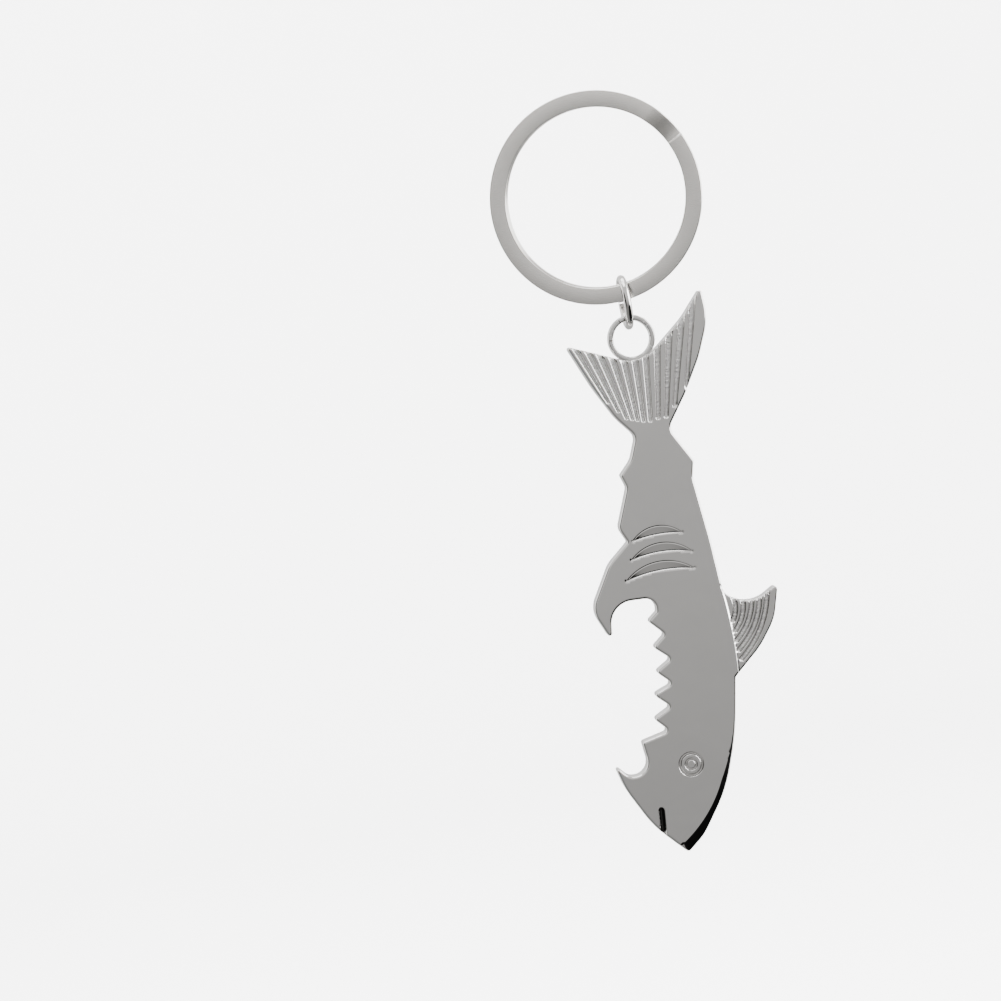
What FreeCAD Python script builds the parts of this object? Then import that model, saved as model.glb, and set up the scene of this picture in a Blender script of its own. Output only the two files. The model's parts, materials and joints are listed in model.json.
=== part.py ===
import FreeCAD, Part
import math
import os
import Sketcher
from FreeCAD import Vector

# Shark-shaped bottle opener on a split key ring.
# Frame: +Z up, the opener's plate lies in XZ, its engraved face looks along -Y.
# The origin is the centre of the split ring's bore. Everything hangs below it.
# Millimetres and degrees throughout.

SIZES = [
    ("ring_outer_radius", 15.0, "split ring, outside"),
    ("ring_bore_radius", 12.7, "split ring, inside"),
    ("turn_thickness", 0.8, "one turn of the split ring"),
    ("turn_gap", 0.1, "slit between the two turns"),
    ("crank_half_angle", 10.0, "where one turn steps over to the other"),
    ("turn_end_gap", 0.35, "free end of a turn to the crank"),
    ("ring_edge_round", 0.12, "edges of the strip"),
    ("ring_roll", -52.0, "crank position round the ring, from its top"),
    ("ring_yaw", -13.0, "the ring's plane turned about Z"),
    ("link_inner_radius", 2.8, "connecting link, inside"),
    ("link_wire_radius", 0.55, "connecting link, wire"),
    ("link_gap_angle", 2.0, "butt joint of the link"),
    ("link_offset", 1.45, "link to the right of the ring's centre"),
    ("link_depth", 15.17, "link centre below the ring's centre"),
    ("eye_drop", 5.15, "opener's eye below the link's centre"),
    ("hang_angle", 3.67, "opener's own axis turned from the vertical"),
    ("plate_thickness", 3.0, "opener plate"),
    ("plate_edge", 0.25, "small bevel round both faces"),
    ("eye_outer_radius", 3.35, "cast eye, outside"),
    ("eye_hole_radius", 2.55, "cast eye, hole"),
    ("eye_thickness", 1.8, "cast eye"),
    ("groove_depth", 0.45, "ray grooves of the fins"),
    ("gill_depth", 0.35, "gill crescents"),
    ("mark_depth", 0.3, "ring grooves of the shark's eye"),
    ("slit_depth", 0.6, "mouth slit"),
    ("slit_width", 0.9, "mouth slit"),
    ("mark_outer_radius", 1.75, "shark's eye, outer ring"),
    ("mark_inner_radius", 0.9, "shark's eye, inner ring"),
    ("mark_width", 0.3, "width of both rings"),
    ("snout_bevel_depth", 1.0, "wide bevel along the snout"),
    ("snout_bevel_angle", 60.0, "from the plate's normal"),
]

# The outline's corners before rounding: name, x, z, corner radius. The opener's
# own axis runs from the centre of its eye, at 0, 0, down to the nose.
OUTLINE = [
    ("tail_left_tip", -9.45, -0.05, 0.3),
    ("tail_left_edge", -6.45, -6.1, 25.0),
    ("tail_left_root", -3.55, -10.9, 8.0),
    ("waist_left", -1.0, -13.7, 1.5),
    ("lobe_top", -2.05, -17.0, 3.5),
    ("lobe_tip", -3.75, -19.0, 0.4),
    ("lobe_under", -3.05, -20.8, 1.2),
    ("belly", -4.85, -26.4, 1.6),
    ("hook_root", -3.75, -28.45, 0.3),
    ("hook_shoulder", -6.75, -31.3, 5.0),
    ("hook_side", -9.85, -37.5, 3.4),
    ("hook_tip", -7.4, -42.3, 0.35),
    ("hook_inside", -7.15, -36.75, 3.2),
    ("mouth_top", -0.6, -36.65, 1.6),
    ("mouth_corner", -0.75, -38.75, 0.3),
    ("tooth1_tip", -2.1, -39.95, 0.4),
    ("tooth1_root", 0.1, -42.0, 0.45),
    ("tooth2_tip", -1.75, -43.7, 0.4),
    ("tooth2_root", 0.6, -45.6, 0.45),
    ("tooth3_tip", -1.75, -47.2, 0.4),
    ("tooth3_root", 0.4, -49.1, 0.45),
    ("tooth4_tip", -2.45, -50.4, 0.4),
    ("tooth4_root", -0.15, -52.35, 0.45),
    ("tooth5_tip", -2.75, -53.85, 0.4),
    ("tooth5_root", -0.75, -55.75, 0.45),
    ("jaw_shoulder", -4.8, -56.9, 0.4),
    ("jaw_inside", -4.0, -61.5, 2.0),
    ("jaw_floor", -7.1, -61.65, 1.6),
    ("jaw_tip", -9.1, -59.65, 0.25),
    ("chin", -7.85, -63.4, 14.0),
    ("snout_under", -4.5, -69.0, 16.0),
    ("nose", 0.2, -73.4, 0.45),
    ("snout_front", 2.7, -71.05, 7.0),
    ("forehead", 6.4, -64.9, 22.0),
    ("nape", 8.55, -57.2, 40.0),
    ("dorsal_front", 9.45, -49.2, 0.35),
    ("dorsal_edge", 13.45, -45.25, 12.0),
    ("dorsal_outer", 15.85, -41.6, 8.0),
    ("dorsal_tip", 16.85, -36.7, 0.35),
    ("dorsal_notch", 12.2, -39.75, 4.5),
    ("dorsal_back", 8.95, -37.0, 1.8),
    ("spine", 7.95, -29.4, 60.0),
    ("spine_hollow", 6.4, -20.4, 3.0),
    ("spine_corner", 6.8, -17.95, 0.6),
    ("waist_right", 3.75, -13.15, 1.7),
    ("tail_right_root", 6.6, -8.55, 6.0),
    ("tail_right_edge", 9.15, -3.5, 14.0),
    ("tail_right_crown", 10.95, 1.7, 9.0),
    ("tail_right_tip", 10.4, 6.1, 0.3),
    ("trailing_right", 7.3, 2.1, 12.0),
    ("trailing_middle", 2.1, -2.75, 6.0),
    ("trailing_left", -1.0, -3.1, 3.5),
]

# The corners' coordinates that set how far the opener reaches, kept in the sheet.
REACHES = ["nose_z", "hook_tip_z", "jaw_tip_z", "dorsal_tip_x", "tail_right_tip_z"]

# Tail rays: the grooves run from beyond the trailing edge down to a round end.
# Each row is x, z at the top, x, z at the root, and the two widths.
TAIL_GROOVES = [
    (-8.6, 0.4, -4.35, -8.6, 0.75, 0.4),
    (-6.9, 0.1, -3.05, -9.9, 0.85, 0.5),
    (-5.2, -0.6, -2.0, -11.0, 0.85, 0.55),
    (-3.3, -1.6, -1.2, -11.2, 0.85, 0.55),
    (-1.6, -2.2, -0.5, -11.4, 0.85, 0.55),
    (0.0, -2.2, 0.35, -11.6, 0.85, 0.6),
    (1.6, -2.0, 1.3, -11.7, 0.85, 0.6),
    (3.4, -1.2, 2.45, -11.45, 0.85, 0.6),
    (5.35, 0.8, 3.6, -11.4, 0.9, 0.6),
    (7.4, 3.0, 4.95, -10.0, 0.95, 0.6),
    (9.2, 5.2, 6.9, -7.6, 0.9, 0.5),
]

# Dorsal fin rays: x, z beyond the fin's upper edge and x, z at the torso.
FIN_GROOVES = [
    (10.3, -38.0, 9.95, -41.2),
    (11.6, -38.3, 10.15, -42.7),
    (12.9, -38.2, 10.2, -44.1),
    (14.1, -37.8, 10.35, -45.5),
    (15.2, -37.2, 10.6, -46.8),
]
FIN_RAY_WIDTH = 0.65
FIN_RAY_BOW = 0.1

# Gill crescents: both ends, then the top of the upper and of the lower arc.
GILLS = [
    ((-3.0, -28.37), (3.93, -27.87), (1.0, -26.65), (0.9, -27.75)),
    ((-3.45, -31.0), (5.09, -30.7), (1.2, -29.08), (1.0, -30.25)),
    ((-4.48, -33.87), (5.11, -33.11), (0.9, -31.67), (0.6, -32.85)),
]

MARK_CENTRE = (1.76, -60.8)
SLIT_TOP = (-3.15, -66.85)
SLIT_END = (-3.2, -71.5)

# The inner edge of the wide snout bevel, nose first, and points clear outside.
SNOUT_BEVEL = [(0.0, -71.9), (3.4, -68.5), (6.1, -63.7), (7.75, -59.6), (9.0, -52.5)]
SNOUT_CLEAR = [(16.0, -52.5), (16.0, -82.0), (-6.0, -82.0)]

PARTS_FOLDER = "parts"


def make_sheet(doc):
    sheet = doc.addObject("Spreadsheet::Sheet", "sizes")
    rows = list(SIZES)
    for name, x, z, radius in OUTLINE:
        for ending, value in (("_x", x), ("_z", z), ("_radius", radius)):
            if name + ending in REACHES:
                rows.append((name + ending, value, "outline corner"))
    for row, (alias, value, note) in enumerate(rows, start=1):
        sheet.set("A%d" % row, alias)
        sheet.set("B%d" % row, str(value))
        sheet.set("C%d" % row, note)
        sheet.setAlias("B%d" % row, alias)
    doc.recompute()
    return sheet


def plane(body, role):
    for feature in body.Origin.OriginFeatures:
        if feature.Role == role:
            return feature
    raise ValueError("no origin plane " + role)


def new_sketch(body, name, role, height=None):
    sketch = body.newObject("Sketcher::SketchObject", name)
    sketch.AttachmentSupport = [(plane(body, role), "")]
    sketch.MapMode = "FlatFace"
    if height is not None:
        sketch.setExpression("AttachmentOffset.Base.z", height)
    return sketch


def rounding(before, corner, after, radius):
    """Start, end and middle of the arc that rounds a corner."""
    to_before = (before - corner).normalize()
    to_after = (after - corner).normalize()
    half = to_before.getAngle(to_after) / 2
    start = corner + to_before * (radius / math.tan(half))
    end = corner + to_after * (radius / math.tan(half))
    inward = (to_before + to_after).normalize()
    centre = corner + inward * (radius / math.sin(half))
    return start, end, centre - inward * radius


def rounded_outline(sketch, corners, bound):
    """A closed, fully constrained outline of lines and tangent arcs."""
    count = len(corners)
    points = [Vector(x, z, 0) for _, x, z, _ in corners]
    arcs = []
    for i in range(count):
        arcs.append(rounding(points[i - 1], points[i], points[(i + 1) % count], corners[i][3]))
    shapes = []
    for i in range(count):
        start, end, middle = arcs[i]
        following = arcs[(i + 1) % count][0]
        shapes.append(Part.Arc(start, middle, end))
        shapes.append(Part.LineSegment(end, following))
    sketch.addGeometry(shapes, False)
    sketch.addGeometry([Part.Point(point) for point in points], True)
    first_point = 2 * count
    rules = []
    for i in range(count):
        arc = 2 * i
        line = 2 * i + 1
        line_before = (2 * i - 1) % (2 * count)
        forwards = arc_runs_forwards(sketch, arc, arcs[i][0])
        head, foot = (1, 2) if forwards else (2, 1)
        rules.append(Sketcher.Constraint("Tangent", line_before, 2, arc, head))
        rules.append(Sketcher.Constraint("Tangent", arc, foot, line, 1))
        rules.append(Sketcher.Constraint("PointOnObject", first_point + i, 1, line_before))
        rules.append(Sketcher.Constraint("PointOnObject", first_point + i, 1, line))
    for i, (name, x, z, radius) in enumerate(corners):
        rules.append(named(Sketcher.Constraint("DistanceX", first_point + i, 1, x), name + "_x"))
        rules.append(named(Sketcher.Constraint("DistanceY", first_point + i, 1, z), name + "_z"))
        rules.append(named(Sketcher.Constraint("Radius", 2 * i, radius), name + "_radius"))
    sketch.addConstraint(rules)
    for name in bound:
        sketch.setExpression("Constraints." + name, "sizes." + name)


def arc_runs_forwards(sketch, arc, start):
    return sketch.getPoint(arc, 1).distanceToPoint(start) < 1e-6


def named(constraint, name):
    constraint.Name = name
    return constraint


def bound_circle(sketch, centre, alias, name, shift=""):
    circle = sketch.addGeometry(Part.Circle(Vector(centre[0], centre[1], 0), Vector(0, 0, 1), 1.0))
    sketch.addConstraint(Sketcher.Constraint("DistanceX", circle, 3, centre[0]))
    sketch.addConstraint(Sketcher.Constraint("DistanceY", circle, 3, centre[1]))
    radius = sketch.addConstraint(Sketcher.Constraint("Radius", circle, 1.0))
    sketch.renameConstraint(radius, name)
    sketch.setExpression("Constraints." + name, "sizes." + alias + shift)
    return circle


def closed_polygon(sketch, points):
    corners = [Vector(x, z, 0) for x, z in points]
    for start, end in zip(corners, corners[1:] + corners[:1]):
        sketch.addGeometry(Part.LineSegment(start, end))


def groove_outline(sketch, top, root, top_width, root_width, bow=0.0):
    """A ray groove: square beyond the fin's edge, round at its root, straight or bowed."""
    start = Vector(top[0], top[1], 0)
    end = Vector(root[0], root[1], 0)
    along = (end - start).normalize()
    across = Vector(-along.y, along.x, 0)
    left_top = start + across * (top_width / 2)
    right_top = start - across * (top_width / 2)
    left_root = end + across * (root_width / 2)
    right_root = end - across * (root_width / 2)
    tip = end + along * (root_width / 2)
    sketch.addGeometry(Part.LineSegment(right_top, left_top))
    sketch.addGeometry(Part.Arc(left_root, tip, right_root))
    length = (end - start).Length
    if bow:
        shift = across * (bow * length)
        left_middle = (left_top + left_root) / 2 + shift
        right_middle = (right_top + right_root) / 2 + shift
        sketch.addGeometry(Part.Arc(left_top, left_middle, left_root))
        sketch.addGeometry(Part.Arc(right_root, right_middle, right_top))
    else:
        sketch.addGeometry(Part.LineSegment(left_top, left_root))
        sketch.addGeometry(Part.LineSegment(right_root, right_top))


def pad_both_ways(body, name, sketch, thickness):
    pad = body.newObject("PartDesign::Pad", name)
    pad.Profile = sketch
    pad.SideType = "Symmetric"
    pad.setExpression("Length", thickness)
    return pad


def pocket_into_face(body, name, sketch, depth):
    pocket = body.newObject("PartDesign::Pocket", name)
    pocket.Profile = sketch
    pocket.setExpression("Length", depth)
    return pocket


def pocket_through(body, name, sketch):
    pocket = body.newObject("PartDesign::Pocket", name)
    pocket.Profile = sketch
    pocket.SideType = "Symmetric"
    pocket.Type = "ThroughAll"
    return pocket


def flat_faces(shape, height):
    """Names of the faces that lie at y = height and look straight out."""
    names = []
    for index, face in enumerate(shape.Faces, start=1):
        middle = face.CenterOfMass
        if abs(middle.y - height) < 1e-4 and isinstance(face.Surface, Part.Plane):
            names.append("Face%d" % index)
    return names


def must_shrink(doc, body, feature, before):
    doc.recompute()
    if not feature.Shape.Volume < before - 1e-3:
        raise ValueError(feature.Name + " cut nothing from " + body.Name)
    return feature.Shape.Volume


def build_opener(doc, sheet):
    body = doc.addObject("PartDesign::Body", "opener_body")
    half = sheet.plate_thickness / 2
    face_height = "sizes.plate_thickness / 2"

    outline = new_sketch(body, "plate_outline", "XZ_Plane")
    rounded_outline(outline, OUTLINE, REACHES)
    plate = pad_both_ways(body, "plate", outline, "sizes.plate_thickness")
    doc.recompute()

    edges = body.newObject("PartDesign::Chamfer", "plate_edges")
    edges.Base = (plate, flat_faces(plate.Shape, -half) + flat_faces(plate.Shape, half))
    edges.setExpression("Size", "sizes.plate_edge")
    doc.recompute()

    eye = new_sketch(body, "eye_outline", "XZ_Plane")
    bound_circle(eye, (0, 0), "eye_outer_radius", "rim")
    pad_both_ways(body, "eye", eye, "sizes.eye_thickness")
    hole = new_sketch(body, "eye_hole_outline", "XZ_Plane")
    bound_circle(hole, (0, 0), "eye_hole_radius", "hole")
    doc.recompute()
    volume = body.Tip.Shape.Volume
    volume = must_shrink(doc, body, pocket_through(body, "eye_hole", hole), volume)

    snout = new_sketch(body, "snout_bevel_outline", "XZ_Plane", face_height)
    inner = [Vector(x, z, 0) for x, z in SNOUT_BEVEL]
    snout.addGeometry(Part.Arc(inner[0], inner[1], inner[2]))
    snout.addGeometry(Part.Arc(inner[2], inner[3], inner[4]))
    clear = [Vector(x, z, 0) for x, z in SNOUT_CLEAR]
    for start, end in zip([inner[-1]] + clear, clear + [inner[0]]):
        snout.addGeometry(Part.LineSegment(start, end))
    bevel = pocket_into_face(body, "snout_bevel", snout, "sizes.snout_bevel_depth")
    bevel.setExpression("TaperAngle", "-sizes.snout_bevel_angle")
    volume = must_shrink(doc, body, bevel, volume)

    rays = new_sketch(body, "tail_ray_outlines", "XZ_Plane", face_height)
    for top_x, top_z, root_x, root_z, top_width, root_width in TAIL_GROOVES:
        groove_outline(rays, (top_x, top_z), (root_x, root_z), top_width, root_width)
    tail_rays = pocket_into_face(body, "tail_rays", rays, "sizes.groove_depth")
    volume = must_shrink(doc, body, tail_rays, volume)

    fin = new_sketch(body, "fin_ray_outlines", "XZ_Plane", face_height)
    for top_x, top_z, root_x, root_z in FIN_GROOVES:
        groove_outline(fin, (top_x, top_z), (root_x, root_z), FIN_RAY_WIDTH, FIN_RAY_WIDTH,
                       FIN_RAY_BOW)
    fin_rays = pocket_into_face(body, "fin_rays", fin, "sizes.groove_depth")
    volume = must_shrink(doc, body, fin_rays, volume)

    gills = new_sketch(body, "gill_outlines", "XZ_Plane", face_height)
    for left, right, upper, lower in GILLS:
        ends = [Vector(x, z, 0) for x, z in (left, right, upper, lower)]
        gills.addGeometry(Part.Arc(ends[0], ends[2], ends[1]))
        gills.addGeometry(Part.Arc(ends[1], ends[3], ends[0]))
    volume = must_shrink(doc, body, pocket_into_face(body, "gills", gills, "sizes.gill_depth"),
                         volume)

    mark = new_sketch(body, "shark_eye_outline", "XZ_Plane", face_height)
    for ring in ("outer", "inner"):
        alias = "mark_%s_radius" % ring
        bound_circle(mark, MARK_CENTRE, alias, ring + "_edge")
        bound_circle(mark, MARK_CENTRE, alias, ring + "_floor", " - sizes.mark_width")
    volume = must_shrink(doc, body, pocket_into_face(body, "shark_eye", mark, "sizes.mark_depth"),
                         volume)

    slit = new_sketch(body, "mouth_slit_outline", "XZ_Plane", face_height)
    groove_outline(slit, SLIT_END, SLIT_TOP, sheet.slit_width, sheet.slit_width)
    volume = must_shrink(doc, body, pocket_into_face(body, "mouth_slit", slit, "sizes.slit_depth"),
                         volume)

    body.Placement = FreeCAD.Placement(Vector(0, 0, 0), FreeCAD.Rotation(Vector(0, 1, 0), 1))
    body.setExpression("Placement.Rotation.Angle", "sizes.hang_angle * 1deg")
    body.setExpression("Placement.Base.z", "-sizes.link_depth - sizes.eye_drop")
    place_under_band(body)
    return body


def place_under_band(body):
    """Moves a hanging piece under the spot of the yawed band that holds the link."""
    body.setExpression("Placement.Base.x", "sizes.link_offset")
    body.setExpression("Placement.Base.y", "sizes.link_offset * tan(sizes.ring_yaw * 1deg)")


def build_link(doc, sheet):
    body = doc.addObject("PartDesign::Body", "jump_ring")
    section = new_sketch(body, "wire_section", "XZ_Plane")
    middle = sheet.link_inner_radius + sheet.link_wire_radius
    circle = section.addGeometry(Part.Circle(Vector(0, middle, 0), Vector(0, 0, 1), 0.5))
    section.addConstraint(Sketcher.Constraint("PointOnObject", circle, 3, -2))
    height = section.addConstraint(Sketcher.Constraint("DistanceY", circle, 3, middle))
    section.renameConstraint(height, "middle")
    section.setExpression("Constraints.middle", "sizes.link_inner_radius + sizes.link_wire_radius")
    wire = section.addConstraint(Sketcher.Constraint("Radius", circle, 0.5))
    section.renameConstraint(wire, "wire")
    section.setExpression("Constraints.wire", "sizes.link_wire_radius")
    ring = body.newObject("PartDesign::Revolution", "wire_ring")
    ring.Profile = section
    ring.ReferenceAxis = (section, ["H_Axis"])
    ring.setExpression("Angle", "360 - sizes.link_gap_angle")
    # the butt joint ends up at the back of the link
    body.Placement = FreeCAD.Placement(Vector(0, 0, 0), FreeCAD.Rotation(Vector(1, 0, 0), 90))
    body.setExpression("Placement.Base.z", "-sizes.link_depth")
    place_under_band(body)
    return body


def crank_void(sketch, sheet, side):
    """The wedge above (side 1) or below (side -1) the step between the turns."""
    reach = sheet.ring_outer_radius * math.sin(math.radians(sheet.crank_half_angle))
    outer = side * (sheet.turn_thickness + sheet.turn_gap)
    level = side * sheet.turn_gap / 2
    far = reach + sheet.turn_end_gap
    closed_polygon(sketch, [
        (-side * reach, -outer),
        (side * far, -outer),
        (side * far, level),
        (side * reach, level),
    ])


def ring_turn(body, name, height, rearwards):
    """One flat turn of the strip. Its bore stays a wall of its own, so nothing is refined."""
    outline = new_sketch(body, name + "_outline", "XZ_Plane", height)
    bound_circle(outline, (0, 0), "ring_outer_radius", "outside")
    bound_circle(outline, (0, 0), "ring_bore_radius", "bore")
    turn = body.newObject("PartDesign::Pad", name)
    turn.Profile = outline
    turn.Reversed = rearwards
    turn.Refine = False
    turn.setExpression("Length", "sizes.turn_thickness")
    return turn


def ring_sector(sketch, sheet):
    """The short stretch of the ring, at its top, where one turn steps over to the other."""
    edge = math.radians(sheet.crank_half_angle)
    left, top, right = [
        Vector(math.sin(angle), math.cos(angle), 0) for angle in (-edge, 0, edge)
    ]
    inside, outside = sheet.ring_bore_radius, sheet.ring_outer_radius
    sketch.addGeometry(Part.Arc(left * inside, top * inside, right * inside))
    sketch.addGeometry(Part.LineSegment(right * inside, right * outside))
    sketch.addGeometry(Part.Arc(right * outside, top * outside, left * outside))
    sketch.addGeometry(Part.LineSegment(left * outside, left * inside))


def build_split_ring(doc, sheet):
    body = doc.addObject("PartDesign::Body", "split_key_ring")
    ring_turn(body, "front_turn", "sizes.turn_gap / 2", False)
    crank = new_sketch(body, "crank_outline", "XZ_Plane")
    ring_sector(crank, sheet)
    step = pad_both_ways(body, "crank", crank, "sizes.turn_gap")
    step.Refine = False
    turns = ring_turn(body, "back_turn", "-sizes.turn_gap / 2", True)
    doc.recompute()
    rounds = body.newObject("PartDesign::Fillet", "strip_edges")
    half = turns.Shape.BoundBox.YMax
    rounds.Base = (turns, flat_faces(turns.Shape, -half) + flat_faces(turns.Shape, half))
    rounds.setExpression("Radius", "sizes.ring_edge_round")
    rounds.Refine = False
    doc.recompute()
    volume = rounds.Shape.Volume

    for name, side in (("front_end", 1), ("back_end", -1)):
        voids = new_sketch(body, name + "_outline", "XY_Plane")
        crank_void(voids, sheet, side)
        cut = body.newObject("PartDesign::Pocket", name)
        cut.Profile = voids
        cut.Reversed = True
        cut.Length = sheet.ring_outer_radius + 1
        cut.Refine = False
        volume = must_shrink(doc, body, cut, volume)

    roll = FreeCAD.Rotation(Vector(0, 1, 0), -sheet.ring_roll)
    yaw = FreeCAD.Rotation(Vector(0, 0, 1), sheet.ring_yaw)
    body.Placement = FreeCAD.Placement(Vector(0, 0, 0), yaw.multiply(roll))
    return body


def check(doc, bodies):
    for item in doc.Objects:
        if "Invalid" in item.State or "Error" in item.State:
            raise ValueError(item.Name + " failed: " + str(item.State))
    for body in bodies:
        shape = body.Shape
        if shape.isNull() or not shape.isValid() or len(shape.Solids) != 1:
            raise ValueError(body.Name + " is not one valid solid")


def main():
    doc = FreeCAD.newDocument("shark_opener")
    sheet = make_sheet(doc)
    bodies = [build_split_ring(doc, sheet), build_link(doc, sheet), build_opener(doc, sheet)]
    doc.recompute()
    check(doc, bodies)
    os.makedirs(PARTS_FOLDER, exist_ok=True)
    for body in bodies:
        body.Label = body.Name
        body.Shape.exportStep(os.path.join(PARTS_FOLDER, body.Label + ".step"))
        box = body.Shape.BoundBox
        print(body.Label, "volume %.1f" % body.Shape.Volume, box)


main()
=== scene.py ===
import json
import math
import bpy
import numpy as np
from mathutils import Matrix, Vector
from mathutils.geometry import delaunay_2d_cdt


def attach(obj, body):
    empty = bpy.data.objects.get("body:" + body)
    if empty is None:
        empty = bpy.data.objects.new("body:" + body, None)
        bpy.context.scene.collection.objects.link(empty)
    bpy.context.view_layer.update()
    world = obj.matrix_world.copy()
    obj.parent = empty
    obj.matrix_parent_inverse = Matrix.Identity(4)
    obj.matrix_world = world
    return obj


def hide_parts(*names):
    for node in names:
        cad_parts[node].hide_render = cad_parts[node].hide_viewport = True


# A chrome shark bottle opener on a split key ring. The opener, the link and the
# ring are modelled in millimetres and scaled to metres as they are placed.

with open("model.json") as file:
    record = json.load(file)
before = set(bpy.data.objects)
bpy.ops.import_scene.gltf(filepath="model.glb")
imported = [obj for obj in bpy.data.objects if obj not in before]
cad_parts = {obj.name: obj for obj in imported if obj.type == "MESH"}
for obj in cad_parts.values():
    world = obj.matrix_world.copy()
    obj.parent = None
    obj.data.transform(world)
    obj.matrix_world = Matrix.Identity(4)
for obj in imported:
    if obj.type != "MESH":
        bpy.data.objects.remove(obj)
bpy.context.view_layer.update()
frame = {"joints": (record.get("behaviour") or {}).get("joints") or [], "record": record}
MM = 0.001

RECORD = frame["record"]
MOUNTS = {mount["name"]: mount for mount in RECORD["mounts"]}
JOINTS = {joint["name"]: joint for joint in frame["joints"]}
RING_CENTRE = Vector(MOUNTS["key_ring_bore"]["pos_m"])
RING_AXIS = Vector(MOUNTS["key_ring_bore"]["axis"]).normalized()
LINK_CENTRE = Vector(JOINTS["opener_swings_on_link"]["pos_m"])

# ---------------------------------------------------------------- the opener
EYE_DROP = 5.15
HANG_ANGLE = math.radians(3.67)
HALF_THICKNESS = 1.5
EDGE_ROUND = 0.3
WALL_ROWS = 6

# The outline's corners before rounding: x, z, radius. The cast eye's centre is 0, 0.
TAIL_LEFT = [(-9.45, -0.05, 0.3), (-6.45, -6.1, 25.0), (-3.55, -10.9, 8.0), (-1.0, -13.7, 1.5)]
BELLY = [(-2.05, -17.0, 3.5), (-3.75, -19.0, 0.4), (-3.05, -20.8, 1.2), (-4.85, -26.4, 1.6)]
HOOK = [(-3.75, -28.45, 0.3), (-6.75, -31.3, 5.0), (-9.85, -37.5, 3.4), (-7.4, -42.3, 0.35),
        (-7.15, -36.75, 3.2), (-0.6, -36.65, 1.6), (-0.75, -38.75, 0.3)]
TEETH = [(-2.1, -39.95, 0.4), (0.1, -42.0, 0.45), (-1.75, -43.7, 0.4), (0.6, -45.6, 0.45),
         (-1.75, -47.2, 0.4), (0.4, -49.1, 0.45), (-2.45, -50.4, 0.4), (-0.15, -52.35, 0.45),
         (-2.75, -53.85, 0.4), (-0.75, -55.75, 0.45)]
JAW = [(-4.8, -56.9, 0.4), (-4.0, -61.5, 2.0), (-7.1, -61.65, 1.6), (-9.1, -59.65, 0.25)]
SNOUT = [(-7.85, -63.4, 14.0), (-4.5, -69.0, 16.0), (0.2, -73.4, 0.45), (2.7, -71.05, 7.0),
         (6.4, -64.9, 22.0), (8.55, -57.2, 40.0)]
DORSAL = [(9.45, -49.2, 0.35), (13.45, -45.25, 12.0), (15.85, -41.6, 8.0),
          (16.85, -36.7, 0.35), (12.2, -39.75, 4.5), (8.95, -37.0, 1.8)]
BACK = [(7.95, -29.4, 60.0), (6.4, -20.4, 3.0), (6.8, -17.95, 0.6), (3.75, -13.15, 1.7)]
TAIL_RIGHT = [(6.6, -8.55, 6.0), (9.15, -3.5, 14.0), (10.95, 1.7, 9.0), (10.4, 6.1, 0.3),
              (7.3, 2.1, 12.0), (2.1, -2.75, 6.0), (-1.0, -3.1, 3.5)]
OUTLINE = TAIL_LEFT + BELLY + HOOK + TEETH + JAW + SNOUT + DORSAL + BACK + TAIL_RIGHT

# Ray grooves of the tail: top x, z, root x, z, width at the top and at the root.
TAIL_GROOVES = [
    (-8.6, 0.4, -4.35, -8.6, 0.75, 0.4),
    (-6.9, 0.1, -3.05, -9.9, 0.85, 0.5),
    (-5.2, -0.6, -2.0, -11.0, 0.85, 0.55),
    (-3.3, -1.6, -1.2, -11.2, 0.85, 0.55),
    (-1.6, -2.2, -0.5, -11.4, 0.85, 0.55),
    (0.0, -2.2, 0.35, -11.6, 0.85, 0.6),
    (1.6, -2.0, 1.3, -11.7, 0.85, 0.6),
    (3.4, -1.2, 2.45, -11.45, 0.85, 0.6),
    (5.35, 0.8, 3.6, -11.4, 0.9, 0.6),
    (7.4, 3.0, 4.95, -10.0, 0.95, 0.6),
    (9.2, 5.2, 6.9, -7.6, 0.9, 0.5),
]
# Ray grooves of the dorsal fin: top x, z, root x, z.
FIN_GROOVES = [
    (10.3, -38.0, 9.95, -41.2),
    (11.6, -38.3, 10.15, -42.7),
    (12.9, -38.2, 10.2, -44.1),
    (14.1, -37.8, 10.35, -45.5),
    (15.2, -37.2, 10.6, -46.8),
]
FIN_RAY_WIDTH = 0.65
FIN_RAY_BOW = 0.1
GROOVE_DEPTH = 0.45
GROOVE_LIP = 0.05
GROOVE_WALL = 0.22

# Gill crescents: both ends, then the tops of the upper and of the lower arc.
GILLS = [
    ((-3.0, -28.37), (3.93, -27.87), (1.0, -26.65), (0.9, -27.75)),
    ((-3.45, -31.0), (5.09, -30.7), (1.2, -29.08), (1.0, -30.25)),
    ((-4.48, -33.87), (5.11, -33.11), (0.9, -31.67), (0.6, -32.85)),
]
# Depth of a crescent's floor by its upper and by its lower arc.
GILL_FLOOR = (0.03, 0.11)
GILL_FLOOR_EDGE = 0.08
# Depth and reach of the line on the upper arc, then on the lower arc.
GILL_LINES = [(0.07, 0.11), (0.16, 0.15)]

SHARK_EYE = (1.76, -60.8)
# Ring grooves of the eye: radius, half width, depth.
EYE_RINGS = [(1.6, 0.2, 0.3), (0.75, 0.17, 0.26)]
SLIT = ((-3.15, -66.85), (-3.2, -71.5))
SLIT_HALF_WIDTH = 0.42
SLIT_DEPTH = 0.95
SLIT_EDGE = 0.1
SNOUT_BEVEL = [(-0.3, -71.75), (3.15, -68.3), (5.82, -63.6), (7.5, -59.5), (9.0, -52.5)]
FIN_STEP = [(8.75, -36.6), (9.6, -43.0), (9.75, -49.6)]
FIN_STEP_EDGE = (-0.02, 0.16)
FIN_STEP_RISE = 0.6
FIN_RECESS = 0.22
BEVEL_SLOPE = math.tan(math.radians(30))
BEVEL_REACH = 3.0
BEVEL_TOP = -52.4
# How much of the shallower cut is added where relief and rounded edge meet.
RELIEF_BLEND = 0.35

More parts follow.
